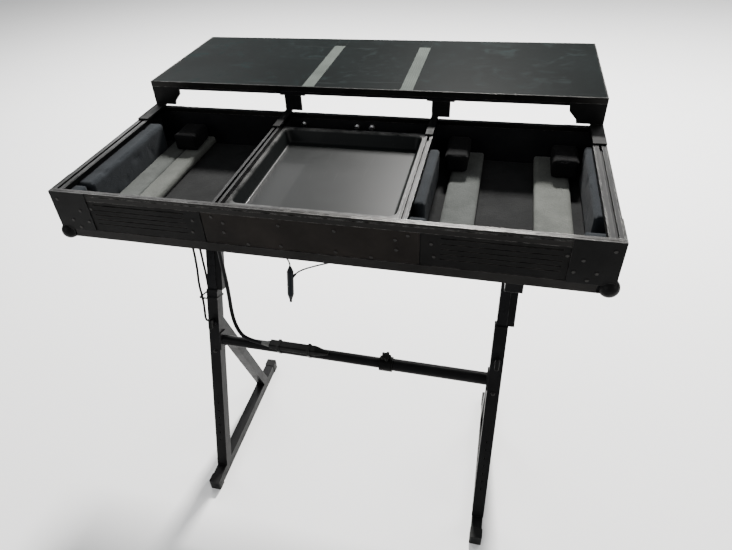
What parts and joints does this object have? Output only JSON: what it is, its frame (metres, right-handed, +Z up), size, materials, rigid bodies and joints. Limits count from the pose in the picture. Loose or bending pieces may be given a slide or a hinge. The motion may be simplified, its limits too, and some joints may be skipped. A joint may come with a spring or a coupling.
{
  "type": "dj equipment console on adjustable stand",
  "caption": "Open flight-case console with padded wells, a centre tray and a sliding laptop platform, on a height-adjustable stand with leaning columns and a telescoping crossbar.",
  "frame": {"origin": "middle of the bounding box at floor level, as set up with the platform fully back", "axes": "+Z up, +Y to the back of the console, +X to the operator's right"},
  "size_m": [1.224, 0.9099, 1.197],
  "materials": {
    "black_board": "satin",
    "rim_aluminium": "worn satin",
    "rail_aluminium": "dark anodised",
    "edge_metal": "satin",
    "corner_metal": "satin",
    "front_metal": "satin",
    "panel_metal": "satin",
    "rivet_steel": "satin",
    "tray_metal": "gloss",
    "terminal_metal": "bright",
    "liner_foam": "foam",
    "light_foam": "foam",
    "pad_foam": "foam",
    "dark_foam": "foam",
    "black_rubber": "matt",
    "platform_laminate": "worn satin",
    "grip_rubber": "matt",
    "shoe_plastic": "matt",
    "stand_paint": "satin",
    "mast_paint": "gloss",
    "stand_plastic": "satin",
    "foot_plastic": "satin",
    "knob_plastic": "satin",
    "brick_plastic": "satin",
    "plug_grey": "matt",
    "plug_plastic": "satin",
    "cable_sheath": "satin",
    "tie_plastic": "satin"
  },
  "bodies": {
    "left_stand": {"left_foot": "stand_paint", "left_foot_caps": "foot_plastic", "left_outer_column": "stand_paint", "left_column_bush": "stand_plastic", "left_brace": "stand_paint", "left_column_bolt": "rivet_steel", "crossbar_inner": "stand_paint", "power_brick": "brick_plastic", "power_plug": "plug_grey", "cable_ties": "tie_plastic", "riser_cable": "cable_sheath", "loop_cable": "cable_sheath"},
    "right_stand": {"right_foot": "stand_paint", "right_foot_caps": "foot_plastic", "right_outer_column": "stand_paint", "right_column_bush": "stand_plastic", "right_brace": "stand_paint", "right_column_bolt": "rivet_steel", "crossbar_outer": "stand_paint", "crossbar_collar": "stand_plastic"},
    "bar_clamp": {"crossbar_knob": "knob_plastic"},
    "left_clamp": {"left_lock_knob": "knob_plastic"},
    "right_clamp": {"right_lock_knob": "knob_plastic"},
    "console": {"left_inner_column": "mast_paint", "left_support_head": "stand_paint", "left_arm_pads": "black_rubber", "case_floor": "black_board", "front_wall": "black_board", "rear_wall": "black_board", "side_walls": "black_board", "dividers": "black_board", "rim_trims": "rim_aluminium", "slotted_rails": "rail_aluminium", "edge_angles": "edge_metal", "corner_plates": "corner_metal", "ball_corners": "corner_metal", "front_centre_plate": "front_metal", "front_side_panels": "panel_metal", "case_rivets": "rivet_steel", "centre_tray": "tray_metal", "rear_terminals": "terminal_metal", "floor_liners": "liner_foam", "floor_foam_strips": "light_foam", "well_pads": "pad_foam", "rear_foam_blocks": "dark_foam", "cable_grommets": "black_rubber", "hanging_lead_short": "cable_sheath", "hanging_lead_side": "cable_sheath", "hanging_plug": "plug_plastic"},
    "right_mast": {"right_inner_column": "mast_paint", "right_support_head": "stand_paint", "right_arm_pads": "black_rubber"},
    "platform": {"platform_board": "black_board", "platform_panels": "platform_laminate", "grip_strips": "grip_rubber", "platform_edging": "rim_aluminium", "platform_battens": "black_board", "end_posts": "corner_metal", "mid_posts": "corner_metal", "glide_shoes": "shoe_plastic"}
  },
  "joints": [
    {"name": "width", "type": "slide", "parent": "left_stand", "child": "right_stand", "axis": [1, 0, 0], "range_m": [-0.15, 0.05]},
    {"name": "bar_clamp_turn", "type": "hinge", "parent": "right_stand", "child": "bar_clamp", "pos_m": [0.114, -0.22058, 0.478], "axis": [0, 0, 1], "range_deg": [0, 360]},
    {"name": "left_clamp_turn", "type": "hinge", "parent": "left_stand", "child": "left_clamp", "pos_m": [-0.427, -0.21643, 0.54648], "axis": [0, -0.9497, 0.3132], "range_deg": [0, 360]},
    {"name": "right_clamp_turn", "type": "hinge", "parent": "right_stand", "child": "right_clamp", "pos_m": [0.423, -0.21643, 0.54648], "axis": [0, -0.9497, 0.3132], "range_deg": [0, 360]},
    {"name": "height", "type": "slide", "parent": "left_stand", "child": "console", "axis": [0, 0.3132, 0.9497], "range_m": [0, 0.2], "deforming": ["riser_cable", "loop_cable"]},
    {"name": "right_height", "type": "slide", "parent": "right_stand", "child": "right_mast", "axis": [0, 0.3132, 0.9497], "range_m": [0, 0.2]},
    {"name": "platform_slide", "type": "slide", "parent": "console", "child": "platform", "axis": [0, -1, 0], "range_m": [0, 0.36]}
  ],
  "couplings": [
    {"joint": "right_height", "follows": "height", "ratio": 1}
  ]
}
